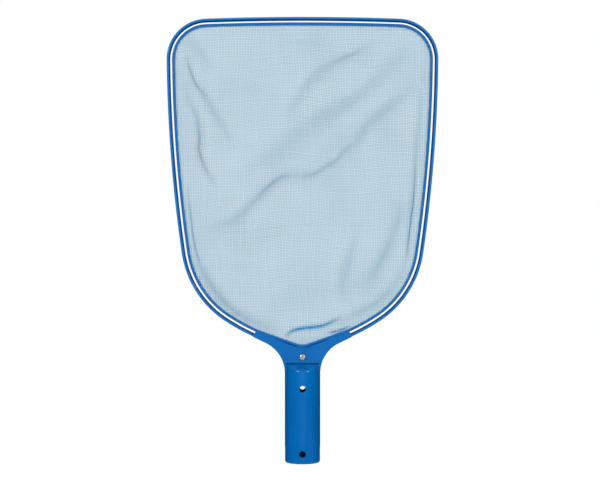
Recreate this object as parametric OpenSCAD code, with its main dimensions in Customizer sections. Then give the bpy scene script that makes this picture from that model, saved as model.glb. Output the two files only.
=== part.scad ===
// Leaf skimmer head for a telescopic pool pole.
// Everything is drawn lying flat, with the net in the XY plane, the handle along -Y and the front
// face up, and is then stood up by upright(): the handle hangs along -Z and the front faces -Y.
// The origin is on the handle's axis, where the end of the pole stops against the yoke.

/* [Handle] */
// Outside diameter of the handle, which plugs into the pole
handle_d = 29.4; // [27:0.1:33]
// Wall of the hollow handle
handle_wall = 2.2; // [1.6:0.1:2.8]
// Length of the handle from the pole's stop to its open end
handle_l = 76.4; // [72:0.2:100]
// Length of the slimmer lead-in at the open end
lead_l = 13.4; // [12.5:0.1:16]
// How much slimmer the lead-in is, on the radius
lead_relief = 0.2; // [0.05:0.05:0.4]
// Radius on the outer edge of the open end
end_round = 1.9; // [0.8:0.1:2]
// Step that the end of the pole stops against, on the radius
seat_step = 0.2; // [0.16:0.02:0.4]
// Solid plug between the bore's blind end and the pole's stop
bore_stop = 4; // [2:0.5:8]
// Diameter of the cross holes
hole_d = 5.3; // [4.8:0.1:6]
// Height of the button holes over the open end
button_z = 8.4; // [7:0.1:9]
// Distance from the button holes up to the spare holes
hole_pitch = 53.6; // [50:0.1:56]

/* [Head] */
// Width of the head over the outer rail
head_w = 225.6; // [216:0.2:240]
// Height of the head's top over the pole's stop
head_top = 293.6; // [286:0.2:310]
// Outer radius of the two upper corners
corner_r = 33.6; // [26:0.2:44]
// Radius of the slightly bowed top edge
top_bow_r = 2250; // [1500:50:4000]
// Radius of the slightly bowed sides
side_bow_r = 1200; // [900:5:2500]
// Inward lean of each side just below its corner, in degrees
side_lean = 0.6; // [0:0.1:1.5]
// Inward lean of each side just above its lower bend, in degrees
side_lean_low = 8.3; // [6:0.1:9]
// Radius of the two lower bends
bend_r = 81.6; // [76:0.2:92]
// Rise of the rail above the level after the lower bend, in degrees
arm_rise_start = 33.2; // [32:0.1:36]
// Rise of the rail above the level where it enters the yoke, in degrees
arm_rise = 26; // [25:0.5:30]
// Radius of the rail between those two
arm_bow_r = 175; // [150:5:240]

/* [Rails] */
// Thickness of the outer rail, seen from the front
rail_w = 2.9; // [2:0.1:3.4]
// Depth of both rails, front to back
rail_depth = 6; // [5.5:0.1:8]
// Radius on the long edges of both rails
rail_round = 0.9; // [0.3:0.1:0.9]
// Open slot between the outer rail and the net rim
slot_w = 1.6; // [1.2:0.1:3]
// Thickness of the net rim, seen from the front
rim_w = 2.2; // [2:0.1:3]

/* [Net] */
// Thickness of the net
net_t = 0.5; // [0.3:0.1:0.8]
// Width of the net that the rim clamps
net_clamp = 0.9; // [0.7:0.1:1.1]
// Spacing of the strands of the net
strand_pitch = 14.5; // [14:0.5:22]
// Width of the strands of the net
strand_w = 1.4; // [0.8:0.1:3]
// Width of the closed band round the net, inside the rim
net_band = 0.8; // [0.4:0.1:2]

/* [Yoke] */
// Depth of the yoke, front to back
yoke_depth = 13; // [11.5:0.1:15]
// Radius of the two fillets from the arms to the handle
neck_r = 27.3; // [20:0.1:30]
// Straight run of the outer rail from its last bend to the yoke
arm_free = 4.5; // [3:0.1:7]
// Rise of the rim above the level along the yoke, in degrees
vee_rise = 19.4; // [16:0.1:22]
// Inner radius of the bend that brings the rim on to the yoke
vee_bend_r = 23; // [15:1:40]
// Inner radius at the bottom of the net
vee_tip_r = 14; // [8:1:18]
// Drop from the bottom of the net to the screw
screw_drop = 10.2; // [9:0.1:12]
// Drop from the screw to the bottom edge of the cover
cover_drop = 5.8; // [5:0.1:7]
// Height of the pry slot in the bottom edge of the cover
pry_h = 1.1; // [0.6:0.1:1.6]
// What the pry slot leaves of the cover's bottom edge on each side
pry_margin = 2.1; // [1.5:0.1:3]
// Half width of the dip in the cover's top edge, which bares the rim
dip_half_w = 30; // [24:0.5:32]
// Half width of the level bottom of that dip
dip_flat = 2.5; // [1:0.1:4]
// Drop from the bottom of the net to the bottom of that dip
dip_drop = 3.4; // [3:0.05:4.5]
// What the cover's top edge leaves bare of the net rim
crest_inset = 1.1; // [0.6:0.1:1.6]
// Length of the outer rail's tongue inside the yoke
tongue_l = 14; // [10:0.5:18]
// Radius of the bulb on the end of the tongue
bulb_r = 2; // [1.5:0.1:2.2]
// Thickness of the yoke's wall outside the tongue
skin_w = 0.9; // [0.7:0.1:1.2]
// Width of the net rim's lug, which the screw holds
lug_w = 8.4; // [7:0.1:10]
// Thickness of that lug
lug_t = 3; // [2:0.1:4]

/* [Screw] */
// Diameter of the screw's head
head_d = 4.7; // [4.2:0.1:5.2]
// Height of the screw's head
head_h = 1.2; // [0.8:0.1:1.4]
// Height of the dome on the screw's head, which is part of the head's height
head_dome = 0.5; // [0.2:0.1:0.7]
// How deep the screw's head sits below the cover's face
head_sink = 0.8; // [0.4:0.1:1.2]
// Diameter of the screw's shank
shank_d = 2.9; // [2.5:0.1:3.2]
// Length of the screw under its head
screw_l = 8.7; // [8:0.1:9.2]
// Diameter of the recess that the head sits in
recess_d = 6.2; // [5.8:0.1:7]
// Width of the cross in the screw's head
cross_w = 0.8; // [0.5:0.1:1]

/* [Spring clip] */
// Width of the clip's strip
clip_w = 7; // [6:0.1:9]
// Thickness of the clip's strip
clip_t = 1.8; // [1.4:0.1:2.2]
// Height of the clip's two hinge lines over the open end
clip_hinge_z = 42; // [36:0.5:43]
// Height of the legs' free ends over the open end
clip_foot_z = 3.6; // [3:0.1:5]
// Diameter of the buttons
button_d = 4.2; // [3.8:0.1:4.3]
// How far the buttons sit above the middle of their holes, which they swing down across
button_lift = 0.2; // [0.1:0.05:0.3]
// How far the buttons stand out of the handle
button_out = 3; // [2:0.1:4]
// Height of the dome on the end of each button
button_dome = 0.8; // [0.4:0.1:1.2]

/* [Fits] */
// Gap round pieces that are laid into the yoke
seat_gap = 0.1; // [0.05:0.01:0.15]
// Gap between the screw's shank and its hole in the boss
thread_gap = 0.05; // [0.02:0.01:0.08]
// Gap between the clip's legs and the bore
clip_gap = 0.3; // [0.2:0.05:0.5]

/* [Hidden] */

blue = "#0168b2";
net_blue = "#b2ccd8";
steel = "#c8c6c0";
black = "#101012";

// Round surfaces get this many sides
round_sides = 64;
// A bent rail gets a section at least every so many degrees and every so many millimetres
turn_step = 5;
bow_step = 12;
// Cuts run this far past the face that they open
past = 1;

handle_r = handle_d / 2;
bore_r = handle_r - handle_wall;
open_y = -handle_l;
rail_top = rail_depth / 2;
tongue_top = rail_top - rail_round;
yoke_top = yoke_depth / 2;
// From the head's outer edge to the outer and the inner face of the rim
rim_outer = rail_w + slot_w;
rim_inner = rim_outer + rim_w;
// Flats on each quarter turn of a rail's rounded edges
edge_parts = 2;
// The retainer lies in a rebate in the rim's inner face, behind the net
rebate_w = net_clamp + (rim_w - net_clamp) / 3;
rail_profile = concat(edge(rail_w - rail_round, tongue_top, 0), edge(rail_round, tongue_top, 90),
                      edge(rail_round, -tongue_top, 180), edge(rail_w - rail_round, -tongue_top, 270));
rim_profile = concat(edge(rim_inner - rail_round, tongue_top, 0),
                     edge(rim_outer + rail_round, tongue_top, 90),
                     [[rim_outer, -rail_top], [rim_inner - rebate_w, -rail_top],
                      [rim_inner - rebate_w, net_t / 2], [rim_inner, net_t / 2]]);
retainer_profile = concat([[rim_inner, -net_t / 2], [rim_inner - rebate_w + seat_gap, -net_t / 2],
                           [rim_inner - rebate_w + seat_gap, -rail_top]],
                          edge(rim_inner - rail_round, -tongue_top, 270));

// ---- Paths -------------------------------------------------------------------------------------
// A pose is [x, y, heading], with the heading in degrees clockwise from +X. A path is a list of
// steps: [radius, angle] turns right along an arc, and [0, length] runs straight.

function arc_step(p, r, a) = [p[0] + r * (sin(p[2] + a) - sin(p[2])),
                              p[1] + r * (cos(p[2] + a) - cos(p[2])), p[2] + a];
function run_step(p, l) = [p[0] + l * cos(p[2]), p[1] - l * sin(p[2]), p[2]];
function step(p, s, part = 1) = s[0] > 0 ? arc_step(p, s[0], s[1] * part) : run_step(p, s[1] * part);
function pose_at(path, n) = n == 0 ? path_start : step(pose_at(path, n - 1), path[n - 1]);
// The point that lies inward of a pose, to the right of its heading
function inward(p, d) = [p[0] - d * sin(p[2]), p[1] - d * cos(p[2])];
// Sections on one step of a path
function arc_count(s) =
    s[0] > 0 ? max(ceil(s[1] / turn_step), ceil(s[0] * s[1] * PI / 180 / bow_step)) : 1;
// Poses along a path, from the start of one of its steps to its end
function poses(path, first = 0) =
    [for (i = [first:len(path)], k = [0:i < len(path) ? arc_count(path[i]) - 1 : 0])
        i < len(path) ? step(pose_at(path, i), path[i], k / arc_count(path[i])) : pose_at(path, i)];
// The same run mirrored to the left, followed by the right side, all clockwise
function both_sides(run) =
    concat([for (i = [len(run) - 1:-1:1]) [-run[i][0], run[i][1], -run[i][2]]], run);

path_start = [0, head_top, 0];
// The top edge ends where the corner's arc reaches the full width
top_half = asin((head_w / 2 - corner_r) / (top_bow_r - corner_r));
hoop = [[top_bow_r, top_half],
        [corner_r, 90 + side_lean - top_half],
        [side_bow_r, side_lean_low - side_lean],
        [bend_r, 90 - arm_rise_start - side_lean_low],
        [arm_bow_r, arm_rise_start - arm_rise]];
hoop_end = pose_at(hoop, len(hoop));

// Both rails run straight into the yoke
arms = concat(hoop, [[0, arm_free]]);
arm_end = pose_at(arms, len(arms));
// There the rim bends, and it meets its other half under the net
vee_bend = [vee_bend_r + rim_inner, arm_rise - vee_rise];
vee_start = step(arm_end, vee_bend);
vee_tip_path_r = vee_tip_r + rim_inner;
vee_run = (vee_start[0] - vee_tip_path_r * sin(vee_rise)) / cos(vee_rise);
rim_path = concat(arms, [vee_bend, [0, vee_run], [vee_tip_path_r, vee_rise]]);
rim_run = both_sides(poses(rim_path));
rim_end = pose_at(rim_path, len(rim_path));
net_bottom = rim_end[1] + rim_inner;
screw_y = net_bottom - screw_drop;
cover_bottom = screw_y - cover_drop;

// The arms' lower edge runs straight to a fillet that is tangent to the handle's side
neck_corner_run = (hoop_end[0] - handle_r) / cos(arm_rise);
neck_tangent = neck_r * tan((90 - arm_rise) / 2);
neck_start = run_step(hoop_end, neck_corner_run - neck_tangent);
neck_centre = [handle_r + neck_r, neck_start[1] - neck_r * cos(arm_rise)];
neck_steps = 20;
neck_points = [for (i = [0:neck_steps]) let (a = 180 - (90 - arm_rise) * (neck_steps - i) / neck_steps)
    [neck_centre[0] + neck_r * cos(a), neck_centre[1] + neck_r * sin(a)]];
// Half width of the yoke at the cover's bottom edge, on that fillet
neck_half_w = neck_centre[0] - sqrt(neck_r ^ 2 - (cover_bottom - neck_centre[1]) ^ 2);

// The lug runs this far into the rim
lug_root = 1;
// The cross in the screw's head, as shares of the head
cross_l = 0.62 * head_d;
cross_deep = 0.7 * head_h;
// Level of the seat under the screw's head
head_seat = yoke_top - head_sink - head_h;

// The flat legs' edges clear the round bore by the clip's gap
clip_face = sqrt((bore_r - clip_gap) ^ 2 - (clip_w / 2) ^ 2);
clip_y = open_y + clip_hinge_z;
// Radius of the sphere that gives a dome of a stated height over a round end
function dome_r(r, h) = (r ^ 2 + h ^ 2) / (2 * h);
button_dome_r = dome_r(button_d / 2, button_dome);
head_dome_r = dome_r(head_d / 2, head_dome);

// ---- Helpers -----------------------------------------------------------------------------------

module upright() {
    rotate([90, 0, 0])
        children();
}

// A slab from one height to another, from a flat outline
module slab(low, high) {
    translate([0, 0, low])
        linear_extrude(high - low)
            children();
}

// A rail along poses. Each point of its profile is [distance inward, height], and they run
// anticlockwise as seen along the path. A closed rail ends where it starts.
module rail(run, profile, closed) {
    n = len(profile);
    rings = closed ? len(run) - 1 : len(run);
    points = [for (i = [0:rings - 1], q = profile)
                 [run[i][0] - q[0] * sin(run[i][2]), run[i][1] - q[0] * cos(run[i][2]), q[1]]];
    bands = closed ? rings : rings - 1;
    sides = [for (i = [0:bands - 1], k = [0:n - 1])
                let (a = i * n + k,
                     b = i * n + (k + 1) % n,
                     c = ((i + 1) % rings) * n + (k + 1) % n,
                     d = ((i + 1) % rings) * n + k)
                    each [[a, b, c], [a, c, d]]];
    caps = closed ? [] : [[for (k = [n - 1:-1:0]) k], [for (k = [0:n - 1]) (rings - 1) * n + k]];
    polyhedron(points = points, faces = concat(sides, caps));
}

// A quarter turn of a rounded edge about a point, from one direction on
function edge(x, y, from) =
    [for (k = [0:edge_parts]) let (a = from + k * 90 / edge_parts)
        [x + rail_round * cos(a), y + rail_round * sin(a)]];

module both_halves() {
    children();
    mirror([1, 0, 0])
        children();
}

// The closed outline at a distance inward of the rim's path
function rim_outline(d) = [for (i = [1:len(rim_run) - 1]) inward(rim_run[i], d)];

// Half of the yoke's lower edge, from the end of its arm down past the handle's top
function yoke_side() = concat([[arm_end[0], arm_end[1]]], neck_points, [[handle_r, -handle_d]]);

// Half of the yoke's top edge, at a distance inward of the rim's path, from the centre outwards
function yoke_crest(d, dip) =
    let (run = poses(rim_path, len(arms)),
         points = [for (i = [len(run) - 1:-1:0]) inward(run[i], d)])
        dip ? concat([[0, net_bottom - dip_drop], [dip_flat, net_bottom - dip_drop],
                      [dip_half_w, crest_y(dip_half_w, d)]],
                     [for (p = points) if (p[0] > dip_half_w) p])
            : points;
// Height of the crest's straight part at a distance x from the centre
function crest_y(x, d) =
    let (p = inward(vee_start, d))
        p[1] - (p[0] - x) * tan(vee_rise);

// The yoke between two levels, up to a distance inward of the rim's path
module yoke_outline(d, low, high = head_top, dip = false) {
    right = concat(yoke_crest(d, dip), yoke_side());
    left = [for (i = [len(right) - 1:-1:1]) [-right[i][0], right[i][1]]];
    intersection() {
        polygon(concat(right, left));
        translate([-head_w / 2, low])
            square([head_w, high - low]);
    }
}

// ---- Pieces ------------------------------------------------------------------------------------

// Tongue and bulb of the outer rail, drawn flat, with room round them
module tongue_shape(room) {
    a = inward(arm_end, skin_w);
    translate([a[0], a[1]])
        rotate(-arm_end[2]) {
            translate([-past, -(rail_w - skin_w) - room])
                square([tongue_l + past, rail_w - skin_w + 2 * room]);
            translate([tongue_l, -bulb_r])
                circle(bulb_r + room, $fn = round_sides);
        }
}

// Outline of the rim's lug, which the screw holds
module lug_shape(room) {
    foot = screw_y - lug_w / 2;
    translate([-lug_w / 2 - room, foot - room])
        square([lug_w + 2 * room, rim_end[1] + rim_outer + lug_root - foot + room]);
}

// Hollow spigot with its rounded open end
module spigot() {
    rotate([90, 0, 0])
        rotate_extrude($fn = 2 * round_sides)
            difference() {
                union() {
                    square([handle_r, handle_l - lead_l]);
                    translate([0, handle_l - lead_l - past])
                        square([handle_r - lead_relief, lead_l + past - end_round]);
                    translate([0, handle_l - end_round - past])
                        square([handle_r - lead_relief - end_round, end_round + past]);
                    translate([handle_r - lead_relief - end_round, handle_l - end_round])
                        circle(end_round, $fn = round_sides);
                }
                translate([0, bore_stop])
                    square([bore_r, handle_l]);
            }
}

// From the pole's stop up, a slightly wider round shoulder slopes back to the faces of the yoke
module shoulder() {
    shoulder_r = handle_r + seat_step;
    intersection() {
        rotate([-90, 0, 0])
            cylinder(h = cover_bottom, r = shoulder_r, $fn = 2 * round_sides);
        rotate([90, 0, 90])
            linear_extrude(2 * handle_d, center = true)
                polygon([[-past, -shoulder_r], [0, -shoulder_r], [cover_bottom, -yoke_top],
                         [cover_bottom, yoke_top], [0, shoulder_r], [-past, shoulder_r]]);
    }
}

module cross_holes() {
    for (y = [open_y + button_z, open_y + button_z + hole_pitch])
        translate([0, y, 0])
            cylinder(h = 2 * handle_d, r = hole_d / 2, center = true, $fn = round_sides);
}

module handle() {
    color(blue)
        upright()
            difference() {
                union() {
                    spigot();
                    shoulder();
                    // Neck below the cover, arms beside the rails, and the plate behind them
                    slab(-yoke_top, yoke_top)
                        yoke_outline(rim_inner, 0, cover_bottom);
                    slab(-yoke_top, rail_top)
                        yoke_outline(rim_outer - seat_gap, 0);
                    slab(-yoke_top, -rail_top - seat_gap)
                        yoke_outline(rim_inner, 0);
                }
                cross_holes();
                slab(-tongue_top - seat_gap, rail_top + past)
                    both_halves()
                        tongue_shape(seat_gap);
                slab(rail_top - lug_t - seat_gap, rail_top + past)
                    lug_shape(seat_gap);
                translate([0, screw_y, head_seat - screw_l - past])
                    cylinder(h = yoke_depth, r = shank_d / 2 + thread_gap, $fn = round_sides);
            }
}

module yoke_cover() {
    color(blue)
        upright()
            difference() {
                slab(rail_top, yoke_top)
                    difference() {
                        yoke_outline(rim_inner - crest_inset, cover_bottom, dip = true);
                        translate([-neck_half_w + pry_margin, cover_bottom - past])
                            square([2 * (neck_half_w - pry_margin), pry_h + past]);
                    }
                translate([0, screw_y, 0])
                    cylinder(h = yoke_depth, r = shank_d / 2 + seat_gap, $fn = round_sides);
                translate([0, screw_y, head_seat])
                    cylinder(h = yoke_depth, r = recess_d / 2, $fn = round_sides);
            }
}

module outer_rail() {
    color(blue)
        upright() {
            rail(both_sides(poses(concat(hoop, [[0, arm_free - seat_gap]]))), rail_profile, false);
            slab(-tongue_top, tongue_top)
                both_halves()
                    tongue_shape(0);
        }
}

module net_rim() {
    color(blue)
        upright()
            difference() {
                union() {
                    rail(rim_run, rim_profile, true);
                    slab(rail_top - lug_t, rail_top)
                        lug_shape(0);
                }
                translate([0, screw_y, 0])
                    cylinder(h = yoke_depth, r = shank_d / 2 + seat_gap, $fn = round_sides);
            }
}

module net_retainer() {
    color(blue)
        upright()
            rail(rim_run, retainer_profile, true);
}

module net() {
    columns = ceil(head_w / strand_pitch / 2);
    color(net_blue)
        upright()
            slab(-net_t / 2, net_t / 2)
                difference() {
                    polygon(rim_outline(rim_inner - net_clamp));
                    intersection() {
                        polygon(rim_outline(rim_inner + net_band));
                        for (i = [-columns:columns], k = [0:ceil(head_top / strand_pitch)])
                            translate([i * strand_pitch, net_bottom + (k + 0.5) * strand_pitch])
                                square(strand_pitch - strand_w, center = true);
                    }
                }
}

module yoke_screw() {
    color(steel)
        upright()
            translate([0, screw_y, head_seat])
                difference() {
                    union() {
                        intersection() {
                            cylinder(h = head_h, r = head_d / 2, $fn = round_sides);
                            translate([0, 0, head_h - head_dome_r])
                                sphere(head_dome_r, $fn = round_sides);
                        }
                        translate([0, 0, -screw_l])
                            cylinder(h = screw_l, r = shank_d / 2, $fn = round_sides);
                    }
                    for (a = [0, 90])
                        rotate([0, 0, a])
                            translate([-cross_l / 2, -cross_w / 2, head_h - cross_deep])
                                cube([cross_l, cross_w, cross_deep + past]);
                }
}

// The clip's round top, across the handle from front to back
module clip_bend() {
    color(black)
        upright()
            intersection() {
                translate([-clip_w / 2, clip_y, 0])
                    rotate([0, 90, 0])
                        difference() {
                            cylinder(h = clip_w, r = clip_face, $fn = 2 * round_sides);
                            translate([0, 0, -past])
                                cylinder(h = clip_w + 2 * past, r = clip_face - clip_t,
                                         $fn = 2 * round_sides);
                        }
                translate([-clip_w, clip_y, -handle_d])
                    cube([2 * clip_w, handle_d, 2 * handle_d]);
            }
}

// One leg with its button, on the front side
module clip_leg() {
    foot_y = open_y + clip_foot_z;
    button_tip = handle_r + button_out;
    button_root = clip_face - clip_t / 2;
    translate([-clip_w / 2, foot_y, clip_face - clip_t])
        cube([clip_w, clip_y - foot_y, clip_t]);
    translate([0, open_y + button_z + button_lift, 0]) {
        translate([0, 0, button_root])
            cylinder(h = button_tip - button_dome - button_root, r = button_d / 2, $fn = round_sides);
        translate([0, 0, button_tip - button_dome])
            intersection() {
                translate([0, 0, button_dome - button_dome_r])
                    sphere(button_dome_r, $fn = round_sides);
                cylinder(h = button_dome, r = button_d / 2, $fn = round_sides);
            }
    }
}

module clip_leg_front() {
    color(black)
        upright()
            clip_leg();
}

module clip_leg_back() {
    color(black)
        upright()
            mirror([0, 0, 1])
                clip_leg();
}

handle();
yoke_cover();
outer_rail();
net_rim();
net_retainer();
net();
yoke_screw();
clip_bend();
clip_leg_front();
clip_leg_back();
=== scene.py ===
"""Looks of a leaf skimmer net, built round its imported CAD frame.

Sizes are in millimetres and degrees until place() turns them into points in metres. The frame is
the CAD's own: the handle hangs along -Z from the seat where the pole's end stops, the head stands
above it, and the front faces -Y. A height, here, is a distance towards the front from the middle
plane of the rails and the net.
"""

import math

import bmesh
import bpy
import numpy as np
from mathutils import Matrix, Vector


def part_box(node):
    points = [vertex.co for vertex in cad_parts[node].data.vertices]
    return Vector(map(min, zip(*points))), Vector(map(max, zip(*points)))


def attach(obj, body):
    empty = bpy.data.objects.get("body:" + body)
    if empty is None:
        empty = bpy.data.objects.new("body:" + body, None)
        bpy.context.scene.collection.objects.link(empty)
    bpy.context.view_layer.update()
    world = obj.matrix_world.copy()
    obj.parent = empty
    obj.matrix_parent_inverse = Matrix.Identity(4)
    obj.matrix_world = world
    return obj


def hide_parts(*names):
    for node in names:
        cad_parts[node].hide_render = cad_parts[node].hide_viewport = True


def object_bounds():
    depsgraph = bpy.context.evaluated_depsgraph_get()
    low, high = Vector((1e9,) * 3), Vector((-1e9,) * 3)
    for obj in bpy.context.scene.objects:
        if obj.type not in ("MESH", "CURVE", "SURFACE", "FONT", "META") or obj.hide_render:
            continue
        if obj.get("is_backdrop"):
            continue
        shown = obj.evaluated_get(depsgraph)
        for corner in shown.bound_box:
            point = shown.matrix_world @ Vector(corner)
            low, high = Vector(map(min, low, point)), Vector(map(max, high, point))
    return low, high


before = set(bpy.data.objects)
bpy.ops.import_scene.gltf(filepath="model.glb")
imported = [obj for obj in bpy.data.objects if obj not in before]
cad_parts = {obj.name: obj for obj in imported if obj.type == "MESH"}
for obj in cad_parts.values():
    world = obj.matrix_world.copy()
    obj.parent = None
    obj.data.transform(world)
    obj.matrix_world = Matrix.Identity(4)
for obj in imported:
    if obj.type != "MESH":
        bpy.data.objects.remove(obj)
cad_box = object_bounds()

MM = 0.001

# ---- Sizes shared with the CAD, in millimetres and degrees ---------------------------------------

HEAD_W, HEAD_TOP = 225.6, 293.6  # width over the outer rail, and the top's height over the seat
CORNER_R, TOP_BOW_R, SIDE_BOW_R = 33.6, 2250.0, 1200.0  # upper corners, top edge and sides
BEND_R, ARM_BOW_R = 81.6, 175.0  # lower bends, and the rail from there to the yoke
SIDE_LEAN, SIDE_LEAN_LOW = 0.6, 8.3  # inward lean of a side below its corner and above its bend
ARM_RISE_START, ARM_RISE = 33.2, 26.0  # rise of the rail after its lower bend and at the yoke
ARM_FREE = 4.5  # straight run from there to the yoke
VEE_RISE, VEE_BEND_R, VEE_TIP_R = 19.4, 23.0, 14.0  # the rim along the yoke: rise, bend and bottom
RAIL_W, SLOT_W, RIM_W = 2.9, 1.6, 2.2  # outer rail, open slot and net rim, seen from the front
RAIL_DEPTH, RAIL_ROUND = 6.0, 0.9  # depth of both rails, and the radius on their long edges
NET_T, NET_CLAMP = 0.5, 0.9  # thickness of the net, and the width of it that the rim clamps
SEAT_GAP = 0.1  # gap round pieces that are laid into others
TONGUE_L, BULB_R = 14.0, 2.0  # each end of the outer rail, inside the yoke
SKIN_W = 0.9  # the yoke's wall outside those ends
SCREW_DROP = 10.2  # from the bottom of the net down to the screw
LUG_W, LUG_T, LUG_ROOT = 8.4, 3.0, 1.0  # the rim's lug for the screw, and how far it runs into the rim
LUG_HOLE_R = 1.55  # its hole

RAIL_TOP = RAIL_DEPTH / 2
RIM_OUTER = RAIL_W + SLOT_W
RIM_INNER = RIM_OUTER + RIM_W
REBATE_W = NET_CLAMP + (RIM_W - NET_CLAMP) / 3

# ---- Sizes of what the moulds add, in millimetres ------------------------------------------------

RAIL_DRAFT = 0.85  # how far the outer rail's flank leans out of the slot over its depth
MINOR_ROUND, SMALL_ROUND = 0.4, 0.2  # radii of the rails' lesser edges
REBATE_ROUND, TONGUE_ROUND, LUG_ROUND = 0.15, 0.3, 0.8  # rebate's edge, tongues' edges, lug's corners
HIGHLIGHT_W = 1.6  # how far in from a rail's lit edge its painted highlight reaches
RAIL_HIGHLIGHT, RIM_HIGHLIGHT = 1.3, 0.4  # how strong that painted highlight is on each rail; past 1, it is at full strength

GATE_L, GATE_W = 1.3, 0.6  # half length and half width of a gate mark
GATE_RISE, GATE_ROOT = 0.3, 0.3  # its rise over the rail, and how deep it starts in it
RAIL_GATE, RIM_GATE = (-93.5, 76), (4.2, HEAD_TOP)  # places (x, z) that the gate marks are nearest to
RAIL_GATE_IN, RIM_GATE_IN = 1.2, 0.8  # how far in from each rail's outer face they sit

SEAT_R = 15.0  # radius of the lip over the pole's stop, at its foot
LIP_W, LIP_H, LIP_LIFT = 1.0, 0.9, 0.02  # its width, its height and its clearance from the stop
LIP_LEAN, LIP_BULGE = 0.24, 0.006  # how far its face leans back for each mm up, and how far it bulges
CONE_IN, CONE_TOP = 5.0, 3.6  # how far in, and up to what height, the cone over it runs


def sind(degrees):
    return np.sin(np.radians(degrees))


def cosd(degrees):
    return np.cos(np.radians(degrees))


# ---- Paths and profiles --------------------------------------------------------------------------
# A pose is (x, z, heading), with the heading in degrees clockwise from +X as seen from the front. A
# path is a list of steps: (radius, angle) turns right along an arc, and (0, length) runs straight.

RUN_GAP, RUN_TURN = 3.0, 2.0  # longest step and sharpest turn between two sections of a rail


def stretch(pose, step):
    """Poses along one step of a path. On an arc the heading grows evenly and the place follows the
    differences of its sine and cosine; on a straight run the place moves along the heading."""
    radius, amount = step
    x, z, heading = pose
    length = radius * math.radians(amount) if radius else amount
    count = math.ceil(max(length / RUN_GAP, amount / RUN_TURN if radius else 1))
    part = amount * np.arange(count + 1) / count
    if radius:
        turned = heading + part
        across = x + radius * (sind(turned) - sind(heading))
        up = z + radius * (cosd(turned) - cosd(heading))
    else:
        turned = np.full(count + 1, heading)
        across = x + part * cosd(heading)
        up = z - part * sind(heading)
    return np.stack([across, up, turned], axis=1)


def run_along(pose, path):
    """Poses along all the steps of a path, each place once."""
    parts = []
    for step in path:
        poses = stretch(pose, step)
        parts.append(poses[:-1])
        pose = poses[-1]
    return np.concatenate([*parts, [pose]])


def both_sides(run):
    """The run mirrored to the left, followed by the right side, all clockwise."""
    return np.concatenate([run[:0:-1] * [-1, 1, -1], run])


def place(across, height, up):
    """Points in metres from millimetres across, towards the front and up."""
    return np.stack(np.broadcast_arrays(across, -np.asarray(height), up), axis=-1) * MM


def inward(run, distance):
    """Places (x, z) that lie a distance inward of each pose, to the right of its heading."""
    return run[:, :2] - distance * np.stack([sind(run[:, 2]), cosd(run[:, 2])], axis=1)


def nearest(points, line):
    """The nearest of a line's samples to each point, and how far away it is."""
    gap = np.linalg.norm(points[:, None] - line[None], axis=2)
    near = gap.argmin(axis=1)
    return near, gap[np.arange(len(points)), near]


def sweep(run, profile):
    """Grid of a profile carried along a run. Each of its points lies its own distance inward of the
    pose, square to the heading, and at its own height."""
    across = run[:, None, 0] - profile[None, :, 0] * sind(run[:, None, 2])
    up = run[:, None, 1] - profile[None, :, 0] * cosd(run[:, None, 2])
    return place(across, profile[None, :, 1], up)


def rounded(corners, radii, parts=5):
    """Closed outline with an arc at each corner. The arc's centre lies on the corner's bisector,
    where both sides are one radius away, and its points turn evenly from side to side."""
    corners = np.asarray(corners, float)
    points = []
    for before, corner, after, radius in zip(
        np.roll(corners, 1, 0), corners, np.roll(corners, -1, 0), radii
    ):
        if not radius:
            points.append([corner])
            continue
        into = (before - corner) / np.linalg.norm(before - corner)
        out = (after - corner) / np.linalg.norm(after - corner)
        half = math.acos(np.clip(into @ out, -1, 1)) / 2
        centre = corner + (into + out) / np.linalg.norm(into + out) * radius / math.sin(half)
        first = corner + into * radius / math.tan(half) - centre
        last = corner + out * radius / math.tan(half) - centre
        t = np.linspace(0, 1, parts + 1)[:, None]
        sweep_angle = math.pi - 2 * half
        arc = np.sin((1 - t) * sweep_angle) * first + np.sin(t * sweep_angle) * last
        points.append(centre + arc / math.sin(sweep_angle))
    return np.concatenate(points)


# ---- Meshes --------------------------------------------------------------------------------------


def skin(grid, rows_close=False):
    """Points and faces of a grid whose columns close on themselves. Its rows close as well, or else
    its first and last rows are capped."""
    rows, columns = grid.shape[:2]
    number = np.arange(rows * columns).reshape(rows, columns)
    if rows_close:
        number = np.concatenate([number, number[:1]])
    here, beside = number, np.roll(number, -1, axis=1)
    quads = np.stack([here[:-1], beside[:-1], beside[1:], here[1:]], axis=-1).reshape(-1, 4)
    faces = quads.tolist()
    if not rows_close:
        faces += [number[0, ::-1].tolist(), number[-1].tolist()]
    return outwards(grid.reshape(-1, 3), faces)


def outwards(points, faces):
    """The same surface with its faces turned outwards, where the sum of the volumes that they make
    with the origin is negative."""
    fans = [(f[0], f[k], f[k + 1]) for f in faces for k in range(1, len(f) - 1)]
    a, b, c = points[np.array(fans).T]
    if np.einsum("ij,ij->", a, np.cross(b, c)) < 0:
        faces = [f[::-1] for f in faces]
    return points, faces


def joined(shells):
    """Several closed surfaces as one list of points and faces."""
    points, faces, first = [], [], 0
    for some, theirs in shells:
        points.append(some)
        faces += [[k + first for k in f] for f in theirs]
        first += len(some)
    return np.concatenate(points), faces


def make_piece(name, shell, material, body, node, crease=40):
    """A piece from points and faces, which stands for its CAD node and rides on its body."""
    mesh = bpy.data.meshes.new(name)
    mesh.from_pydata(shell[0].tolist(), [], shell[1])
    return dress(name, mesh, material, body, node, crease)


def dress(name, mesh, material, body, node, crease):
    """A piece from a finished mesh, smooth but for edges sharper than the crease, in degrees."""
    mesh.materials.clear()
    mesh.materials.append(material)
    mesh.shade_smooth()
    mesh.set_sharp_from_angle(angle=math.radians(crease))
    piece = bpy.data.objects.new(name, mesh)
    bpy.context.scene.collection.objects.link(piece)
    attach(piece, body)
    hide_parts(node)
    return piece


WELD = 1e-6  # points of a CAD node that lie closer than this, in metres, are one
FLAT = 0.5  # faces of a CAD node that meet at less than this, in degrees, are one


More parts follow.
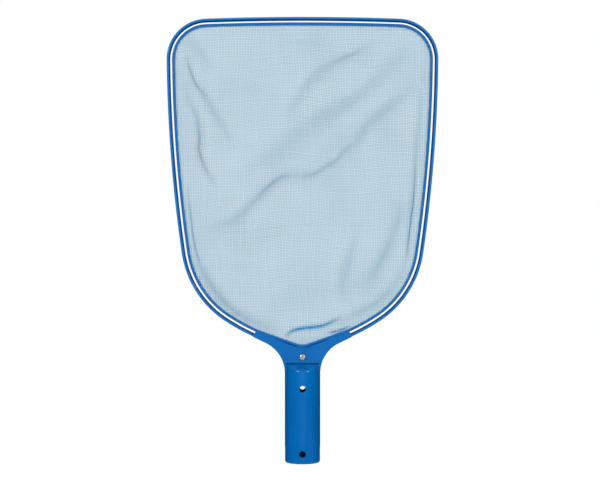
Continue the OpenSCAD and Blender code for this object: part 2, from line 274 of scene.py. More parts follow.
def moulded_copy(node, material, body, edge_r, crease=30):
    """A welded copy of a CAD node whose sharp edges are rounded, as they are in a mould."""
    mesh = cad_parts[node].data.copy()
    work = bmesh.new()
    work.from_mesh(mesh)
    bmesh.ops.remove_doubles(work, verts=work.verts, dist=WELD)
    bmesh.ops.dissolve_degenerate(work, dist=WELD, edges=work.edges)
    bmesh.ops.dissolve_limit(
        work, angle_limit=math.radians(FLAT), verts=work.verts, edges=work.edges
    )
    work.to_mesh(mesh)
    work.free()
    piece = dress(f"{node}_moulding", mesh, material, body, node, crease)
    bevel = piece.modifiers.new("rounded edges", "BEVEL")
    bevel.width = edge_r * MM
    bevel.segments = 3
    bevel.limit_method = "ANGLE"
    bevel.angle_limit = math.radians(crease)
    bevel.harden_normals = True
    return piece


# ---- Materials -----------------------------------------------------------------------------------


def linear(hex_colour):
    """Linear RGBA of an sRGB hex colour."""
    value = np.array([int(hex_colour[k : k + 2], 16) for k in (1, 3, 5)]) / 255
    lin = np.where(value <= 0.04045, value / 12.92, ((value + 0.055) / 1.055) ** 2.4)
    return (*lin.tolist(), 1.0)


def add(tree, kind, settings=None, **links):
    """Adds a node. Settings are its properties or, where it has none of that name, its sockets, by
    name or number. Each link feeds a socket from another node's output: the socket of that name,
    with _ for a space, or of that number, as in _0."""
    node = tree.nodes.new(kind)
    for key, value in (settings or {}).items():
        if isinstance(key, str) and hasattr(node, key):
            setattr(node, key, value)
        else:
            node.inputs[key].default_value = value
    for key, source in links.items():
        socket = int(key[1:]) if key[1:].isdigit() else key.replace("_", " ")
        tree.links.new(source, node.inputs[socket])
    return node


def per_metre(size):
    """Scale of a noise whose features are about this many millimetres across."""
    return 1 / (size * MM)


MIX_RESULT = 2  # a colour mix has its factor at socket 0 and its colours at 6 and 7


def new_material(name):
    """A material with an empty node tree, and that tree."""
    material = bpy.data.materials.new(name)
    material.use_nodes = True
    material.node_tree.nodes.clear()
    return material, material.node_tree


def moulded_polypropylene():
    """Injection-moulded polypropylene in bright blue: a satin skin with a faint orange peel, a fine
    grain from the tool steel, and colour that drifts slightly with the flow. A paler blue is painted
    along a rail's edge as a highlight."""
    material, tree = new_material("moulded blue polypropylene")
    place_of = add(tree, "ShaderNodeTexCoord").outputs["Object"]
    flow = add(tree, "ShaderNodeTexNoise", {"Scale": per_metre(35.71), "Detail": 3.0}, Vector=place_of)
    grain = add(tree, "ShaderNodeTexNoise", {"Scale": per_metre(0.4545), "Detail": 2.0}, Vector=place_of)
    peel = add(tree, "ShaderNodeTexNoise", {"Scale": per_metre(3.125), "Detail": 1.0}, Vector=place_of)
    colour = add(tree, "ShaderNodeValToRGB", Fac=flow.outputs["Fac"])
    colour.color_ramp.elements[0].position = 0.3
    colour.color_ramp.elements[0].color = linear("#0064b0")
    colour.color_ramp.elements[1].position = 0.7
    colour.color_ramp.elements[1].color = linear("#016cba")
    # A paler blue painted along the rails' edges as a highlight
    painted_edge_highlight = add(tree, "ShaderNodeAttribute", {"attribute_name": "painted_edge_highlight"})
    colour = add(
        tree,
        "ShaderNodeMix",
        {"data_type": "RGBA", 7: linear("#3480c8")},
        _0=painted_edge_highlight.outputs["Fac"],
        _6=colour.outputs["Color"],
    )
    gloss = add(
        tree,
        "ShaderNodeMapRange",
        {"To Min": 0.17, "To Max": 0.22},
        Value=peel.outputs["Fac"],
    )
    fine = add(
        tree,
        "ShaderNodeBump",
        {"Strength": 0.12, "Distance": 0.04 * MM},
        Height=grain.outputs["Fac"],
    )
    skin_bump = add(
        tree,
        "ShaderNodeBump",
        {"Strength": 0.10, "Distance": 0.2 * MM},
        Height=peel.outputs["Fac"],
        Normal=fine.outputs["Normal"],
    )
    shader = add(
        tree,
        "ShaderNodeBsdfPrincipled",
        {"IOR": 1.49, "Specular IOR Level": 0.22},
        Base_Color=colour.outputs[MIX_RESULT],
        Roughness=gloss.outputs["Result"],
        Normal=skin_bump.outputs["Normal"],
    )
    add(tree, "ShaderNodeOutputMaterial", Surface=shader.outputs["BSDF"])
    return material


SHADE_FULLY = 0.35  # share of painted fold shade at which the pale colour has given way to the shaded one


def woven_nylon():
    """Flat nylon threads, woven and heat-set. They look pale, as light passes through them. Along the
    folds they are darkened by painted shade, which deepens to a strong blue in a fold's core for the
    net drawn together and doubled there."""
    material, tree = new_material("woven pale blue nylon")
    place_of = add(tree, "ShaderNodeTexCoord").outputs["Object"]
    fold_shade = add(tree, "ShaderNodeAttribute", {"attribute_name": "fold_shade_and_doubling"})
    dye = add(tree, "ShaderNodeTexNoise", {"Scale": per_metre(41.67), "Detail": 5.0}, Vector=place_of)
    pale = add(tree, "ShaderNodeValToRGB", Fac=dye.outputs["Fac"])
    pale.color_ramp.elements[0].position = 0.3
    pale.color_ramp.elements[0].color = linear("#a2c1cf")
    pale.color_ramp.elements[1].position = 0.7
    pale.color_ramp.elements[1].color = linear("#afcad9")
    # Painted shade of the folds: greyer at first, then the strong blue of the net doubled in a fold's core
    deep = add(tree, "ShaderNodeValToRGB", Fac=fold_shade.outputs["Fac"])
    deep.color_ramp.elements[0].position = SHADE_FULLY
    deep.color_ramp.elements[0].color = linear("#8aaabc")
    deep.color_ramp.elements[1].position = 0.75
    deep.color_ramp.elements[1].color = linear("#008ccc")
    share = add(tree, "ShaderNodeMapRange", {"From Max": SHADE_FULLY}, Value=fold_shade.outputs["Fac"])
    colour = add(
        tree,
        "ShaderNodeMix",
        {"data_type": "RGBA"},
        _0=share.outputs["Result"],
        _6=pale.outputs["Color"],
        _7=deep.outputs["Color"],
    )
    fibre = add(tree, "ShaderNodeTexNoise", {"Scale": per_metre(0.3333), "Detail": 1.0}, Vector=place_of)
    bump = add(
        tree,
        "ShaderNodeBump",
        {"Strength": 0.2, "Distance": 0.03 * MM},
        Height=fibre.outputs["Fac"],
    )
    shader = add(
        tree,
        "ShaderNodeBsdfPrincipled",
        {"IOR": 1.53, "Roughness": 0.45, "Specular IOR Level": 0.3},
        Base_Color=colour.outputs[MIX_RESULT],
        Normal=bump.outputs["Normal"],
    )
    add(tree, "ShaderNodeOutputMaterial", Surface=shader.outputs["BSDF"])
    return material


def cold_formed_steel():
    """Stainless steel, cold-formed and tumbled: pale and bright, with a soft fine grain."""
    material, tree = new_material("cold-formed stainless steel")
    place_of = add(tree, "ShaderNodeTexCoord").outputs["Object"]
    grain = add(tree, "ShaderNodeTexNoise", {"Scale": per_metre(0.6667), "Detail": 3.0}, Vector=place_of)
    gloss = add(
        tree,
        "ShaderNodeMapRange",
        {"To Min": 0.22, "To Max": 0.38},
        Value=grain.outputs["Fac"],
    )
    bump = add(
        tree,
        "ShaderNodeBump",
        {"Strength": 0.15, "Distance": 0.03 * MM},
        Height=grain.outputs["Fac"],
    )
    shader = add(
        tree,
        "ShaderNodeBsdfPrincipled",
        {"Base Color": linear("#dad7d0"), "Metallic": 0.6},
        Roughness=gloss.outputs["Result"],
        Normal=bump.outputs["Normal"],
    )
    add(tree, "ShaderNodeOutputMaterial", Surface=shader.outputs["BSDF"])
    return material


def moulded_acetal():
    """Black moulded acetal: a dull, slightly waxy skin with a fine grain."""
    material, tree = new_material("moulded black acetal")
    place_of = add(tree, "ShaderNodeTexCoord").outputs["Object"]
    grain = add(tree, "ShaderNodeTexNoise", {"Scale": per_metre(0.5556), "Detail": 2.0}, Vector=place_of)
    gloss = add(
        tree,
        "ShaderNodeMapRange",
        {"To Min": 0.48, "To Max": 0.6},
        Value=grain.outputs["Fac"],
    )
    bump = add(
        tree,
        "ShaderNodeBump",
        {"Strength": 0.15, "Distance": 0.04 * MM},
        Height=grain.outputs["Fac"],
    )
    shader = add(
        tree,
        "ShaderNodeBsdfPrincipled",
        {"Base Color": linear("#060607"), "IOR": 1.48, "Specular IOR Level": 0.1},
        Roughness=gloss.outputs["Result"],
        Normal=bump.outputs["Normal"],
    )
    add(tree, "ShaderNodeOutputMaterial", Surface=shader.outputs["BSDF"])
    return material


# ---- Rails ---------------------------------------------------------------------------------------

TOP_CENTRE = (0.0, HEAD_TOP, 0.0)
# Half of the top arc, in degrees: it ends where the corner's arc reaches the full width
TOP_HALF = math.degrees(math.asin((HEAD_W / 2 - CORNER_R) / (TOP_BOW_R - CORNER_R)))
HOOP = [
    (TOP_BOW_R, TOP_HALF),
    (CORNER_R, 90 + SIDE_LEAN - TOP_HALF),
    (SIDE_BOW_R, SIDE_LEAN_LOW - SIDE_LEAN),
    (BEND_R, 90 - ARM_RISE_START - SIDE_LEAN_LOW),
    (ARM_BOW_R, ARM_RISE_START - ARM_RISE),
]


def rim_path():
    """The hoop, the bend on to the yoke and the straight run to the arc under the net, whose length
    is what brings that arc's end to the middle."""
    arms = [*HOOP, (0, ARM_FREE)]
    bend = (VEE_BEND_R + RIM_INNER, ARM_RISE - VEE_RISE)
    start = run_along(TOP_CENTRE, [*arms, bend])[-1]
    tip_r = VEE_TIP_R + RIM_INNER
    run = (start[0] - tip_r * sind(VEE_RISE)) / cosd(VEE_RISE)
    return [*arms, bend, (0, run), (tip_r, VEE_RISE)]


RIM_RUN = both_sides(run_along(TOP_CENTRE, rim_path()))
NET_BOTTOM = RIM_RUN[-1][1] + RIM_INNER
SCREW_Z = NET_BOTTOM - SCREW_DROP


def rail_ends(end):
    """The two tongues and bulbs that carry the outer rail on from its end pose, and lie in the yoke's
    arms. A tongue is a slimmer profile carried straight on, and a bulb is a round disc, front to
    back, with rounded edges."""
    high = RAIL_TOP - RAIL_ROUND
    profile = rounded(
        [(SKIN_W, -high), (RAIL_W, -high), (RAIL_W, high), (SKIN_W, high)], [TONGUE_ROUND] * 4, 3
    )
    tongue = run_along(end, [(0, TONGUE_L)])
    x, z = inward(tongue[-1:], SKIN_W + BULB_R)[0]
    turn = np.arange(0, 360, 12)
    section = rounded(
        [(0.0, -high), (BULB_R, -high), (BULB_R, high), (0.0, high)], [0, MINOR_ROUND, MINOR_ROUND, 0], 3
    )
    reach, height = section[1:-1].T[:, :, None]
    disc = place(x + reach * cosd(turn), height, z + reach * sind(turn))
    shells = []
    for side in (1, -1):
        mirror = np.array([side, 1, 1])
        shells.append(skin(sweep(tongue, profile) * mirror))
        shells.append(skin(disc * mirror))
    return shells


def gate_mark(run, near, distance):
    """The nub that a mould's gate leaves on the front of a rail, by the pose that is nearest to a
    place and at a distance inward of it: a low dome on an oval, whose rise falls with the square of
    the distance from its middle."""
    number = nearest(np.array([near]), run[:, :2])[0][0]
    pose = run[number : number + 1]
    centre = inward(pose, distance)[0]
    along = np.array([cosd(pose[0, 2]), -sind(pose[0, 2])]) * GATE_L
    across = (inward(pose, distance + 1)[0] - centre) * GATE_W
    turn = np.arange(0, 360, 30)
    ring = np.linspace(1, 0.15, 5)[:, None]
    x = centre[0] + ring * (along[0] * cosd(turn) + across[0] * sind(turn))
    z = centre[1] + ring * (along[1] * cosd(turn) + across[1] * sind(turn))
    top = np.broadcast_to(RAIL_TOP + GATE_RISE * (1 - ring**2), x.shape)
    height = np.concatenate([np.full_like(x[:1], RAIL_TOP - GATE_ROOT), top])
    return skin(place(np.concatenate([x[:1], x]), height, np.concatenate([z[:1], z])))


def make_seat_lip(material):
    """The lip that the mould's parting leaves round the top of the spigot, over the pole's stop: a
    ring whose outer face leans back evenly and bulges by a parabola, highest at half its height. A
    cone runs from its top edge into the neck."""
    t = np.linspace(0, 1, 9)
    face = SEAT_R - LIP_H * LIP_LEAN * t + 4 * LIP_BULGE * t * (1 - t)
    cone = SEAT_R - CONE_IN
    radius = np.concatenate([[SEAT_R - LIP_W], face, [cone, cone - LIP_W]])[:, None]
    up = np.concatenate([[LIP_LIFT], LIP_LIFT + LIP_H * t, [CONE_TOP, CONE_TOP]])[:, None]
    turn = np.arange(0, 360, 2.5)
    grid = place(radius * cosd(turn), radius * sind(turn), up).transpose(1, 0, 2)
    shell = skin(grid, rows_close=True)
    make_piece("seat_lip", shell, material, "root", "handle")


def highlight_along(piece, run, profile, share):
    """Gives the swept rail, whose points come first in the piece, a share of painted highlight at each
    point of its profile. The rest of the piece has none."""
    value = np.zeros(len(piece.data.vertices), np.float32)
    value[: len(run) * len(profile)] = np.tile(share, len(run))
    piece.data.attributes.new("painted_edge_highlight", "FLOAT", "POINT").data.foreach_set("value", value)


def make_outer_rail(material):
    """The open hoop: one bent strip with well rounded edges. Its flank leans out of the slot by the
    mould's draft, and a painted highlight pales it towards its outer edge, from nothing at the
    highlight's width in."""
    front = RAIL_W - RAIL_DRAFT
    profile = rounded(
        [(0, -RAIL_TOP), (RAIL_W, -RAIL_TOP), (front, RAIL_TOP), (0, RAIL_TOP)],
        [RAIL_ROUND, RAIL_ROUND, MINOR_ROUND, RAIL_ROUND],
    )
    half = run_along(TOP_CENTRE, [*HOOP, (0, ARM_FREE - SEAT_GAP)])
    run = both_sides(half)
    strip = skin(sweep(run, profile))
    shell = joined([strip, gate_mark(run, RAIL_GATE, RAIL_GATE_IN), *rail_ends(half[-1])])
    piece = make_piece("outer_rail_strip", shell, material, "root", "outer_rail")
    # Painted highlight: none at the highlight's width in, strongest at the outer edge
    edge_share = 1 - profile[:, 0] / HIGHLIGHT_W
    highlight_along(piece, run, profile, np.clip(RAIL_HIGHLIGHT * edge_share, 0, 1))


def make_net_rim(material):
    """The closed inner hoop with the rebate that takes the net and the retainer, and its lug. A painted
    highlight pales it towards its inner edge."""
    inner, rebate = RIM_INNER, RIM_INNER - REBATE_W
    profile = rounded(
        [
            (inner, RAIL_TOP),
            (RIM_OUTER, RAIL_TOP),
            (RIM_OUTER, -RAIL_TOP),
            (rebate, -RAIL_TOP),
            (rebate, NET_T / 2),
            (inner, NET_T / 2),
        ],
        [RAIL_ROUND, RAIL_ROUND, MINOR_ROUND, REBATE_ROUND, 0, SMALL_ROUND],
    )
    hoop = skin(sweep(RIM_RUN[:-1], profile), rows_close=True)
    shell = joined([hoop, screw_lug(), gate_mark(RIM_RUN, RIM_GATE, RIM_OUTER + RIM_GATE_IN)])
    piece = make_piece("net_rim_hoop", shell, material, "root", "net_rim")
    # Painted highlight, strongest at the rim's inner edge
    edge_share = 1 - (RIM_INNER - profile[:, 0]) / HIGHLIGHT_W
    highlight_along(piece, RIM_RUN[:-1], profile, np.clip(RIM_HIGHLIGHT * edge_share, 0, 1))


def screw_lug():
    """A flat lug with a round hole: rings that pass from the hole's edge to the lug's outline, on
    the back and then on the front."""
    half = LUG_W / 2
    foot = SCREW_Z - half
    top = RIM_RUN[-1][1] + RIM_OUTER + LUG_ROOT
    corners = [(-half, foot), (half, foot), (half, top), (-half, top)]
    outline = rounded(corners, [LUG_ROUND, LUG_ROUND, 0, 0])
    aim = np.arctan2(outline[:, 1] - SCREW_Z, outline[:, 0])
    hole = np.stack([LUG_HOLE_R * np.cos(aim), SCREW_Z + LUG_HOLE_R * np.sin(aim)], axis=1)
    back, front = RAIL_TOP - LUG_T, RAIL_TOP
    rings = [(hole, front), (hole, back), (outline, back), (outline, front)]
    grid = np.stack([place(ring[:, 0], height, ring[:, 1]) for ring, height in rings])
    return skin(grid, rows_close=True)


def make_net_retainer(material):
    """The ring that is laid into the rebate and holds the net from behind."""
    inner, outer = RIM_INNER, RIM_INNER - REBATE_W + SEAT_GAP
    profile = rounded(
        [(inner, -NET_T / 2), (outer, -NET_T / 2), (outer, -RAIL_TOP), (inner, -RAIL_TOP)],
        [SMALL_ROUND, SMALL_ROUND / 2, SMALL_ROUND, RAIL_ROUND],
    )
    shell = skin(sweep(RIM_RUN[:-1], profile), rows_close=True)
    make_piece("net_retainer_ring", shell, material, "root", "net_retainer")


# ---- Net -----------------------------------------------------------------------------------------

PITCH = 1.3  # spacing of the threads: wider than in a real net, so that the weave shows
THREAD_W, THREAD_T = 0.86, 0.16  # width of a thread, and how far one stands over another
EDGE_GAP = 0.3  # least room from a crossing to the net's cut
STRAY = 0.05  # spread of the threads' places about their even spacing
WANDER, WANDER_RUN = 0.06, 14  # the slow sine of a thread: its height, and its length for a radian
PHASES = 6.3  # those sines start anywhere within so many radians, about a turn
THREAD_SEED = 5
SAG, SKEW = 2.2, 1.7  # how far the slack net hangs back in the middle, and how far its weave is skewed
HELD, SKEW_HELD, SAG_HELD = 3.0, 16.0, 30.0  # how far in the rim still holds the net, its skew, its sag
SLOPE_STEP = 0.4  # distance over which the net's slope is taken
BATCHES = 20  # places are compared with the rim in so many batches, to save memory

# Each fold: its line (x, z), its half width, how strongly it draws the net in (1 would bring the
# threads on its line together), how far it lifts the net to the front, and how dark the painted
# shade is that it lays on the net.
# Most are a wide soft crease with a sharper one along part of it.
FOLDS = [
    ([(-100, 268), (-90, 241), (-80, 229), (-72, 216), (-63, 200), (-58, 182)], 4.0, 0.3, 3.0, 0.11),
    ([(-98, 262), (-90, 241), (-79, 228)], 1.8, 0.4, 0.5, 0.22),
    ([(-99, 236), (-92, 221), (-86, 210), (-85, 196), (-86, 184), (-83, 172), (-78, 162), (-70, 152)],
     3.6, 0.35, 3.0, 0.12),
    ([(-87, 208), (-85, 196), (-86, 184), (-83, 173), (-79, 164)], 2.0, 0.4, 0.5, 0.18),
    ([(66, 275), (42, 265), (25, 257), (13, 248), (3, 236), (-5, 222), (-12, 205)], 4.4, 0.25, 3.2, 0.11),
    ([(52, 270), (42, 265), (31, 260), (22, 255)], 1.8, 0.3, 0.4, 0.14),
    ([(94, 273), (75, 257), (53, 236), (31, 221), (9, 205), (-11, 190), (-30, 176), (-52, 168)],
     6.5, 0.2, 3.8, 0.12),
    ([(97, 240), (78, 222), (58, 207), (44, 191), (29, 178)], 5.5, 0.25, 3.8, 0.12),
    ([(42, 190), (29, 177), (20, 171), (9, 164), (-3, 158)], 2.2, 0.35, 1.2, 0.24),
    ([(14, 163), (-8, 161), (-19, 159), (-30, 152), (-40, 143), (-51, 132), (-64, 124), (-80, 116)],
     4.8, 0.3, 3.4, 0.14),
    ([(-12, 161), (-22, 158), (-30, 152), (-38, 145)], 2.6, 0.3, 0.5, 0.15),
    ([(84, 142), (76, 118), (69, 101), (61, 85), (50, 68)], 5.6, 0.3, 2.6, 0.13),
    ([(47, 126), (39, 96), (35, 74), (33, 57)], 4.4, 0.25, 2.0, 0.1),
    ([(102, 262), (99, 226), (95, 185), (92, 150), (89, 120), (86, 92), (78, 74)], 2.8, 0.3, 1.2, 0.18),
    ([(94, 172), (92, 140), (89, 115), (86, 92)], 0.8, 0.6, 0.4, 0.7),
    ([(-96, 154), (-93, 129), (-90, 107), (-84, 87)], 0.8, 0.6, 0.4, 0.6),
    ([(-92, 110), (-86, 88), (-76, 71), (-62, 54), (-44, 42), (-20, 31)], 4.6, 0.35, 1.6, 0.26),
    ([(88, 86), (68, 62), (47, 49), (27, 38)], 3.8, 0.3, 1.2, 0.15),
    ([(-15, 28), (-8, 33), (5, 35), (18, 37.5), (33, 45)], 1.6, 0.75, 1.4, 1.0),
    ([(21, 31.5), (30, 33), (41, 37)], 0.9, 0.7, 0.6, 0.9),
    # This one only darkens the threads along a line, with no crease
    ([(-94, 114), (-40, 117), (-3, 119.5), (40, 122), (84, 125)], 0.5, 0.0, 0.0, 0.16),
    ([(-101, 284), (-88, 266), (-74, 250)], 5.0, 0.2, 1.5, 0.1),
]


def smooth_line(points, count=60):
    """A curve through the points, each pair joined by a cubic whose slopes are those between the
    neighbours on each side, and its unit normals."""
    p = np.asarray(points, float)
    ends = np.concatenate([2 * p[:1] - p[1:2], p, 2 * p[-1:] - p[-2:-1]])
    t = np.linspace(0, len(p) - 1 - 1e-9, count)
    k = t.astype(int)
    s = (t - k)[:, None]
    a, b, c, d = ends[k], ends[k + 1], ends[k + 2], ends[k + 3]
    line = b + s * (c - a) / 2 + s**2 * (a - 2.5 * b + 2 * c - d / 2) + s**3 * (1.5 * (b - c) + (d - a) / 2)
    along = np.gradient(line, axis=0)
    along /= np.linalg.norm(along, axis=1)[:, None]
    return line, np.stack([-along[:, 1], along[:, 0]], axis=1)


def net_edge():
    """The outline of the net's cut, inside the rim's clamp."""
    return inward(RIM_RUN[:-1], RIM_INNER - NET_CLAMP)


def ripples(u, v):
    """Slow waves of the slack weave at its flat places (u, v): a skew in its own plane, as (x, z),
    and a lift to the front. The skew's sines run along one axis and bend with the other, and the lift
    adds two slanting sines."""
    skew = [np.sin(v / 19 + 0.9 * np.sin(u / 33)), np.sin(u / 16 - 0.8 * np.sin(v / 41) + 2)]
    lift = 0.7 * np.sin(u / 17 + v / 29) + 0.6 * np.sin(v / 13 - u / 31 + 1)
    return SKEW * np.stack(skew, axis=1), lift


def slack(u, v):
    """Where the flat net's places (u, v) lie once it hangs in the rim, as (x, height, z), and how
    much painted shade the folds lay on each. With d the signed distance from a fold's line and w its
    width, the net moves towards the line by pinch * d * exp(-d^2 / 2w^2) and to the front by
    rise * exp(-d^2 / 2w^2), and takes painted shade by its shade tone times exp(-d^2 / 2w^2) of what
    other folds leave, deepening to blue in a fold's core. A fold fades out at its ends with the sine
    of its run to the power 0.7. The net also ripples, and it sags in the middle. Every move fades out
    at the rim with 1 - exp(-(e / HELD)^2), e being the distance to it, and the skew and the sag over
    wider bands."""
    flat = np.stack([u, v], axis=1)
    rim = inward(RIM_RUN[:-1], RIM_INNER)
    edge = np.concatenate([nearest(part, rim)[1] for part in np.array_split(flat, BATCHES)])
    free, skewed, sagging = (1 - np.exp(-((edge / band) ** 2)) for band in (HELD, SKEW_HELD, SAG_HELD))
    skew, waves = ripples(u, v)
    shift = skewed[:, None] * skew
    lift = waves - SAG * sagging
    fold_shade = np.zeros(len(flat))
    for points, width, pinch, rise, shade_tone in FOLDS:
        line, normal = smooth_line(points)
        fade = np.sin(np.pi * np.linspace(0, 1, len(line))) ** 0.7
        some = np.all((flat > line.min(0) - 4 * width) & (flat < line.max(0) + 4 * width), axis=1)
        near, away = nearest(flat[some], line)
        off = np.einsum("ij,ij->i", flat[some] - line[near], normal[near])
        bell = np.exp(-(away**2) / (2 * width**2)) * fade[near]
        shift[some] -= (pinch * off * bell)[:, None] * normal[near]
        lift[some] += rise * bell
        # Painted shade of the fold, deepening to blue in its core
        fold_shade[some] += shade_tone * bell * (1 - fold_shade[some])
    x, z = (flat + shift * free[:, None]).T
    return np.stack([x, lift * free, z], axis=1), fold_shade


def span(edge, axis, at):
    """The two places where the line at a distance along one axis crosses a convex outline."""
    a, b = edge, np.roll(edge, -1, axis=0)
    hit = (a[:, axis] < at) != (b[:, axis] < at)
    share = (at - a[hit, axis]) / (b[hit, axis] - a[hit, axis])
    other = 1 - axis
    return np.sort(a[hit, other] + share * (b[hit, other] - a[hit, other]))


def thread_places(edge, axis, rng):
    """For each thread along one axis: where it lies at its ends in the clamp and at its crossings
    with the others, how far along those are, and on which side of the net it is there. Threads
    stray a little, as in any weave: each from its even place, and along itself by a slow sine."""

    def crossings(low, high):
        """Numbers of the evenly spaced threads between two limits."""
        return np.arange(math.ceil((low + EDGE_GAP) / PITCH), math.floor((high - EDGE_GAP) / PITCH) + 1)

    for k in crossings(edge[:, axis].min(), edge[:, axis].max()):
        ends = span(edge, axis, k * PITCH)
        m = crossings(*ends)
        if len(m):
            along = np.concatenate([ends[:1], m * PITCH, ends[1:]])
            stray = STRAY * rng.standard_normal()
            stray = stray + WANDER * np.sin(along / WANDER_RUN + rng.uniform(0, PHASES))
            side = np.concatenate([[0], np.where((k + m) % 2, 1, -1), [0]])
            yield k * PITCH + stray, along, side


def make_net(material):
    """Threads as flat ribbons, over and under each other in a plain weave. A ribbon lies in the
    net's own plane, and its two edges are half its width to each side of its middle line."""
    edge = net_edge()
    rng = np.random.default_rng(THREAD_SEED)
    rows, sizes, across_axis = [], [], []
    for axis in (0, 1):
        for fixed, along, side in thread_places(edge, axis, rng):
            flat = np.stack([fixed, along] if axis == 0 else [along, fixed], axis=1)
            over = side * (1 if axis == 0 else -1)
            rows.append(np.concatenate([flat, over[:, None]], axis=1))
            sizes.append(len(flat))
            across_axis.append(np.full(len(flat), axis))
    axis = np.concatenate(across_axis)
    u, v, over = np.concatenate(rows).T
    centre, fold_shade = slack(u, v)
    du = slack(u + SLOPE_STEP, v)[0] - centre
    dv = slack(u, v + SLOPE_STEP)[0] - centre
    # The places are (x, height, z), so a normal with a height above zero points to the front
    normal = np.cross(dv, du)
    normal /= np.linalg.norm(normal, axis=1)[:, None]
    normal *= np.sign(normal[:, 1:2])
    along = np.where(axis[:, None] == 0, dv, du)
    along /= np.linalg.norm(along, axis=1)[:, None]
    across = np.cross(along, normal)
    centre = centre + normal * (over * THREAD_T / 2)[:, None]
    edges = np.array([-THREAD_W / 2, THREAD_W / 2])
    points = centre[:, None] + across[:, None] * edges[:, None]
    points = place(points[..., 0], points[..., 1], points[..., 2]).reshape(-1, 3)
    firsts = np.cumsum([0, *sizes])
    starts = np.concatenate([first + np.arange(size - 1) for first, size in zip(firsts, sizes)])
    faces = 2 * starts[:, None] + [0, 1, 3, 2]
    # Every ribbon shows its face to the front, which is towards -Y
    a, b, c = points[faces[:, :3].T]
    turned = np.cross(b - a, c - a)[:, 1] > 0
    faces[turned] = faces[turned, ::-1]
    shell = (points, faces.tolist())
    net = make_piece("woven_net", shell, material, "root", "net", crease=130)
    # Painted shade along the folds, deepening to blue where the net lies doubled
    shade_tone = net.data.attributes.new("fold_shade_and_doubling", "FLOAT", "POINT")
    shade_tone.data.foreach_set("value", np.repeat(fold_shade, 2).astype(np.float32))


# ---- Studio --------------------------------------------------------------------------------------

AMBIENT = 0.2  # level of the soft light all round
DIM = 0.01  # what gloss sees of the room below its ceiling
CEILING_LOW, CEILING_FULL = 40, 60  # degrees up at which that ceiling starts and is fully white

FLOOR_DROP = 170  # how far the floor lies below the handle's open end, in millimetres
FLOOR_R, FADE_FROM, FADE_TO = 900, 450, 850  # its radius, and where it fades out, in millimetres
FLOOR_LIFT = 0.4  # how far the camera sees it lifted towards white


def make_world():
    """Soft light all round, and white to the camera and through glass. Gloss and metal see the same
    white as a ceiling, and a dim room below it."""
    world = bpy.data.worlds.new("studio")
    bpy.context.scene.world = world
    world.use_nodes = True
    tree = world.node_tree
    tree.nodes.clear()
    path = add(tree, "ShaderNodeLightPath").outputs
    glossy = path["Is Glossy Ray"]
    # A world's Generated coordinate is the ray's direction
    aim = add(tree, "ShaderNodeTexCoord").outputs["Generated"]
    up = add(tree, "ShaderNodeSeparateXYZ", _0=aim).outputs["Z"]
    edge = {"From Min": sind(CEILING_LOW), "From Max": sind(CEILING_FULL)}
    ceiling = add(tree, "ShaderNodeMapRange", edge, Value=up)
    white = add(tree, "ShaderNodeMath", {"operation": "MULTIPLY"}, _0=glossy, _1=ceiling.outputs[0])
    for kind in ("Is Transmission Ray", "Is Camera Ray"):
        white = add(tree, "ShaderNodeMath", {"operation": "MAXIMUM"}, _0=white.outputs[0], _1=path[kind])
    room = add(tree, "ShaderNodeMapRange", {"To Min": AMBIENT, "To Max": DIM}, Value=glossy)
    level = add(tree, "ShaderNodeMapRange", Value=white.outputs[0], To_Min=room.outputs[0])
    light = add(
        tree, "ShaderNodeBackground", {"Color": linear("#ffffff")}, Strength=level.outputs[0]
    )
    add(tree, "ShaderNodeOutputWorld", Surface=light.outputs[0])


def make_floor():
    """A round white floor under the object, on even rings about its middle. It fades into the white
    round it. The camera sees it lifted towards that white, and it keeps the object's shadow."""
    rings = np.linspace(0, FLOOR_R, 20)[1:, None]
    turn = np.arange(0, 360, 5)
    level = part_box("handle")[0][2] / MM - FLOOR_DROP
    points = place(rings * cosd(turn), rings * sind(turn), level)
    rows, columns = points.shape[:2]
    number = np.arange(rows * columns).reshape(rows, columns)
    beside = np.roll(number, -1, axis=1)
    quads = np.stack([number[:-1], beside[:-1], beside[1:], number[1:]], axis=-1).reshape(-1, 4)
    mesh = bpy.data.meshes.new("floor")
    mesh.from_pydata(points.reshape(-1, 3).tolist(), [], [*quads.tolist(), number[0].tolist()])
    floor = bpy.data.objects.new("floor", mesh)
    bpy.context.scene.collection.objects.link(floor)
    material, tree = new_material("matt white floor")
    place_of = add(tree, "ShaderNodeTexCoord").outputs["Object"]
    reach = add(tree, "ShaderNodeVectorMath", {"operation": "LENGTH"}, _0=place_of)
    edge = {"From Min": FADE_FROM * MM, "From Max": FADE_TO * MM}
    fade = add(tree, "ShaderNodeMapRange", edge, Value=reach.outputs["Value"])
    matt = add(tree, "ShaderNodeBsdfDiffuse", {"Color": linear("#f4f4f4")})
    seen = add(tree, "ShaderNodeLightPath").outputs["Is Camera Ray"]
    lift = add(tree, "ShaderNodeMath", {"operation": "MULTIPLY", 1: FLOOR_LIFT}, _0=seen)
    glow = add(tree, "ShaderNodeEmission", Strength=lift.outputs[0])
    lit = add(tree, "ShaderNodeAddShader", _0=matt.outputs[0], _1=glow.outputs[0])
    clear = add(tree, "ShaderNodeBsdfTransparent")
    mix = add(tree, "ShaderNodeMixShader", _0=fade.outputs[0], _1=lit.outputs[0], _2=clear.outputs[0])
    add(tree, "ShaderNodeOutputMaterial", Surface=mix.outputs[0])
    mesh.materials.append(material)
    floor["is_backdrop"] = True


LAMP_TARGET = (0, 0, 90)  # a place on the axis, low in the net, in millimetres


def make_lamp(name, at, size, power, glossy=True):
    """A rectangular softbox that faces the target, with places and sizes in millimetres and power in
    watts. Gloss doesn't show one that isn't glossy."""
    data = bpy.data.lights.new(name, "AREA")
    data.shape = "RECTANGLE"
    data.size, data.size_y = size[0] * MM, size[1] * MM
    data.energy = power
    lamp = bpy.data.objects.new(name, data)
    lamp.location = Vector(at) * MM
    lamp.rotation_euler = (Vector(LAMP_TARGET) - Vector(at)).to_track_quat("-Z", "Y").to_euler()
    lamp.visible_glossy = glossy
    bpy.context.scene.collection.objects.link(lamp)


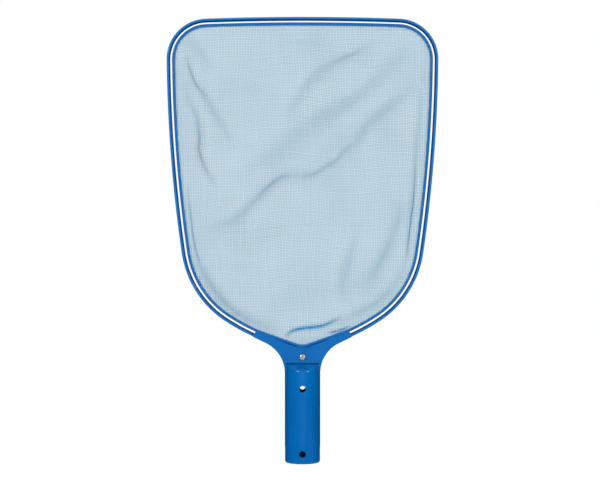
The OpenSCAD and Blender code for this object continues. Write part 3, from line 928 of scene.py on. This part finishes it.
LENS, SENSOR = 100.0, 36.0  # focal length, and the sensor's width
FRAME_PX = 600  # width of the frame in pixels
SCALE = 0.8313  # millimetres to one pixel of the frame, in the middle plane
AXIS_PX = 2.5  # how far right of the frame's middle the object's axis is, in pixels
EYE_Z = 108.4  # height of the eye over the seat
CLIP_END = 100  # how far the camera sees, in metres


def make_camera():
    """Straight in front of the object, as far away as the frame's scale asks for."""
    away = SCALE * FRAME_PX * LENS / SENSOR
    data = bpy.data.cameras.new("camera")
    data.lens, data.sensor_width = LENS, SENSOR
    data.clip_end = CLIP_END
    camera = bpy.data.objects.new("camera", data)
    camera.location = Vector((-AXIS_PX * SCALE, -away, EYE_Z)) * MM
    camera.rotation_euler = (math.pi / 2, 0, 0)
    bpy.context.scene.collection.objects.link(camera)
    bpy.context.scene.camera = camera


def make_studio():
    """Two small softboxes, high at the front, glint on each side of round faces. A wide one lights
    the front, and one behind lights the net through its threads."""
    make_world()
    make_floor()
    make_lamp("left softbox", (-900, -1300, 620), (300, 140), 7.0)
    make_lamp("right softbox", (900, -1300, 620), (300, 140), 7.0)
    make_lamp("front softbox", (0, -1700, 260), (1400, 1000), 12.8, glossy=False)
    make_lamp("rear softbox", (0, 1700, -60), (600, 300), 12.0, glossy=False)
    make_camera()
    bpy.context.scene.view_settings.view_transform = "Standard"


# ---- Object --------------------------------------------------------------------------------------


def make_object():
    """The rails and the net are made anew, and the other pieces are copies with rounded edges."""
    blue = moulded_polypropylene()
    acetal = moulded_acetal()
    make_outer_rail(blue)
    make_net_rim(blue)
    make_net_retainer(blue)
    make_net(woven_nylon())
    moulded_copy("handle", blue, "root", edge_r=0.45)
    make_seat_lip(blue)
    moulded_copy("yoke_cover", blue, "root", edge_r=0.4)
    moulded_copy("yoke_screw", cold_formed_steel(), "root", edge_r=0.25)
    moulded_copy("clip_bend", acetal, "root", edge_r=0.2)
    moulded_copy("clip_leg_front", acetal, "front_button", edge_r=0.2)
    moulded_copy("clip_leg_back", acetal, "back_button", edge_r=0.2)


make_studio()
make_object()

boxes = {"cad": cad_box, "visual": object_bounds()}
{name: [list(corner) for corner in box] for name, box in boxes.items()}
